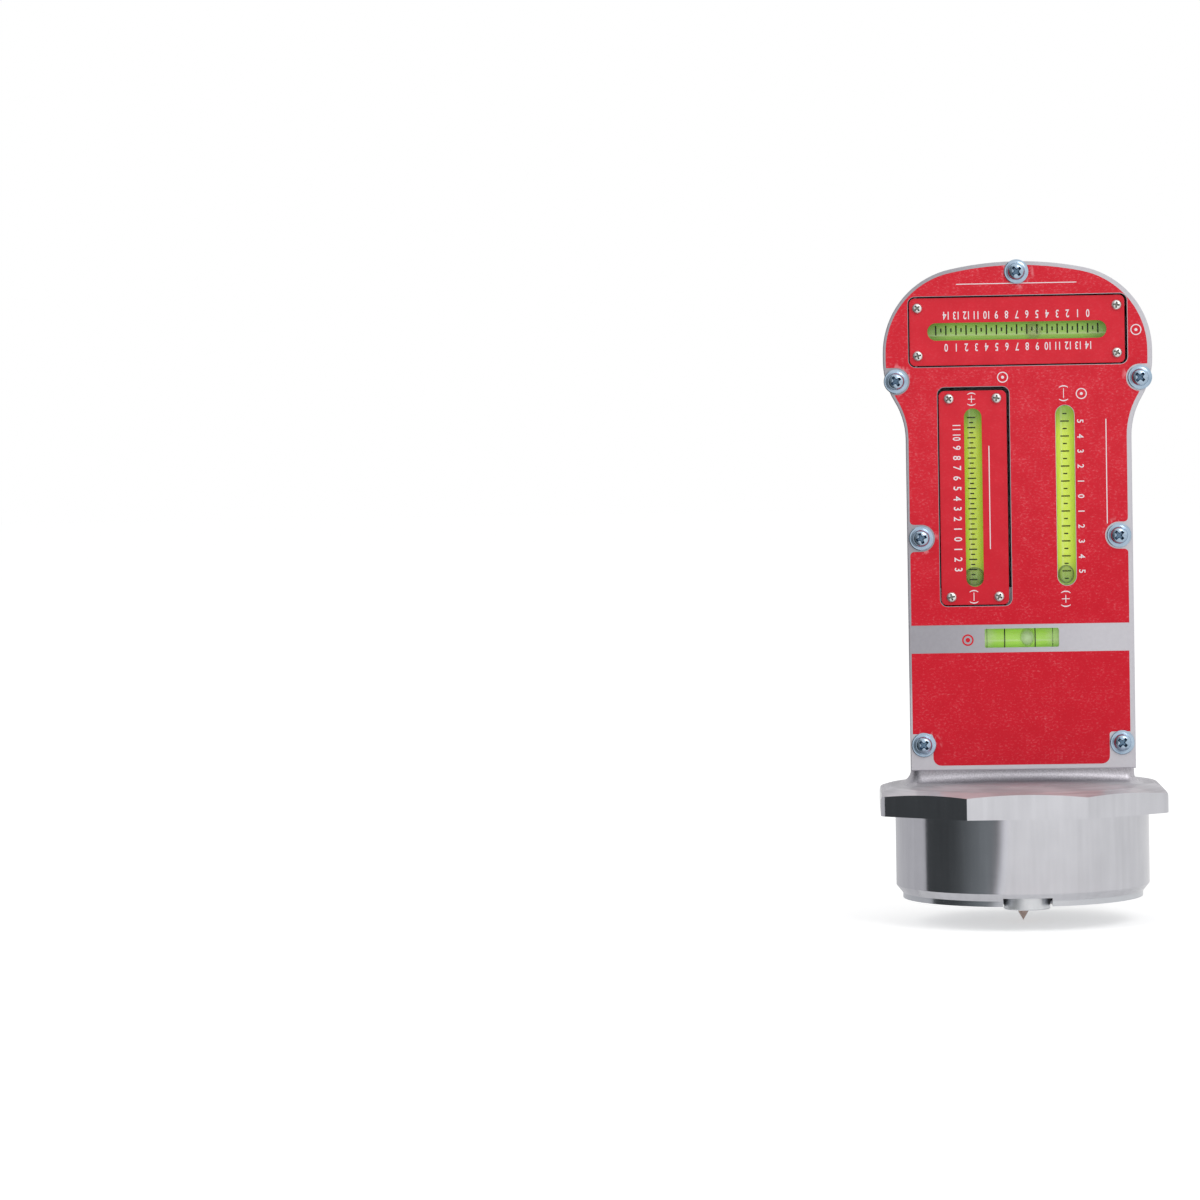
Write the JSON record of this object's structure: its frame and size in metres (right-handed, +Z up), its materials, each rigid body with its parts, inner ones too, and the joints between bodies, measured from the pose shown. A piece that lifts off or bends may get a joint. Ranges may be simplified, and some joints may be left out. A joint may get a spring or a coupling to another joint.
{
  "type": "camber caster gauge",
  "caption": "Handheld wheel alignment gauge: paddle casting with vials and scales, tilting vial carriers set by knobs, magnetic round foot and sprung centring pin.",
  "frame": {"origin": "tip of the centring pin, on the axis of the drum, at the lowest point of the gauge", "axes": "+Z up the paddle, -Y out of the scale panel towards the reader, +X to the reader's right"},
  "size_m": [0.094, 0.094, 0.2188],
  "materials": {
    "casting": "satin cast",
    "panel": "satin, with bare metal bands",
    "plate": "satin",
    "zinc_screw": "zinc plated",
    "steel": "turned",
    "magnet": "ground",
    "spring_steel": "drawn wire",
    "pin": "turned",
    "bush": "turned",
    "insert": "turned",
    "clear_tube": "polished",
    "bubble": "clear",
    "plug": "moulded",
    "holder": "moulded",
    "knob": "moulded"
  },
  "bodies": {
    "gauge_body": {"camber_holder_screws": "zinc_screw", "camber_vial_holder": "holder", "camber_vial_plugs": "plug", "camber_vial_tube": "clear_tube", "castor_carrier_spring": "spring_steel", "castor_pivot_pin": "steel", "front_magnet": "magnet", "front_panel": "panel", "housing": "casting", "kingpin_carrier_spring": "spring_steel", "kingpin_pivot_pin": "steel", "left_magnet": "magnet", "level_holder_screws": "zinc_screw", "level_vial_holder": "holder", "level_vial_plugs": "plug", "level_vial_tube": "clear_tube", "panel_screws": "zinc_screw", "panel_washers": "zinc_screw", "pin_bush": "bush", "pin_spring": "spring_steel", "right_magnet": "magnet"},
    "castor_carrier_set": {"castor_carrier": "holder", "castor_scale_plate": "plate", "castor_plate_screws": "zinc_screw", "castor_vial_tube": "clear_tube", "castor_vial_plugs": "plug", "castor_threaded_insert": "insert"},
    "castor_adjuster": {"castor_adjusting_knob": "knob", "castor_adjusting_screw": "steel", "castor_screw_clip": "steel"},
    "castor_bubble_body": {"castor_bubble": "bubble"},
    "kingpin_carrier_set": {"kingpin_carrier": "holder", "kingpin_scale_plate": "plate", "kingpin_plate_screws": "zinc_screw", "kingpin_vial_tube": "clear_tube", "kingpin_vial_plugs": "plug", "kingpin_threaded_insert": "insert"},
    "kingpin_adjuster": {"kingpin_adjusting_knob": "knob", "kingpin_adjusting_screw": "steel", "kingpin_screw_clip": "steel"},
    "kingpin_bubble_body": {"kingpin_bubble": "bubble"},
    "centring_pin_body": {"centring_pin": "pin"},
    "camber_bubble_body": {"camber_bubble": "bubble"},
    "level_bubble_body": {"level_bubble": "bubble"}
  },
  "joints": [
    {"name": "castor_bolt_turn", "type": "hinge", "parent": "gauge_body", "child": "castor_adjuster", "pos_m": [-0.01485, 0.02, 0.16745], "axis": [0, 1, 0], "range_deg": [-1170, 1170]},
    {"name": "castor_tilt", "type": "hinge", "parent": "gauge_body", "child": "castor_carrier_set", "pos_m": [-0.01485, -0.0115, 0.10775], "axis": [1, 0, 0], "range_deg": [-2.5, 2.5], "deforming": ["castor_carrier_spring"]},
    {"name": "kingpin_bolt_turn", "type": "hinge", "parent": "gauge_body", "child": "kingpin_adjuster", "pos_m": [0.0265, 0.02, 0.19555], "axis": [0, 1, 0], "range_deg": [-1170, 1170]},
    {"name": "kingpin_tilt", "type": "hinge", "parent": "gauge_body", "child": "kingpin_carrier_set", "pos_m": [-0.0332, -0.0115, 0.19555], "axis": [0, 0, -1], "range_deg": [-2.5, 2.5], "deforming": ["kingpin_carrier_spring"]},
    {"name": "centring_pin_slide", "type": "slide", "parent": "gauge_body", "child": "centring_pin_body", "axis": [0, 0, 1], "range_m": [0, 0.0072], "stiffness_N_per_m": 150, "springref_m": -0.0067, "deforming": ["pin_spring"]},
    {"name": "camber_bubble_slide", "type": "slide", "parent": "gauge_body", "child": "camber_bubble_body", "axis": [0, 0, 1], "range_m": [-0.0001, 0.0521]},
    {"name": "castor_bubble_slide", "type": "slide", "parent": "castor_carrier_set", "child": "castor_bubble_body", "axis": [0, 0, 1], "range_m": [-0.0001, 0.0521]},
    {"name": "kingpin_bubble_slide", "type": "slide", "parent": "kingpin_carrier_set", "child": "kingpin_bubble_body", "axis": [1, 0, 0], "range_m": [-0.0316, 0.0206]},
    {"name": "level_bubble_slide", "type": "slide", "parent": "gauge_body", "child": "level_bubble_body", "axis": [1, 0, 0], "range_m": [-0.0118, 0.0078]}
  ],
  "couplings": [
    {"joint": "castor_tilt", "follows": "castor_bolt_turn", "ratio": 0.0021327},
    {"joint": "kingpin_tilt", "follows": "kingpin_bolt_turn", "ratio": 0.0021327}
  ]
}
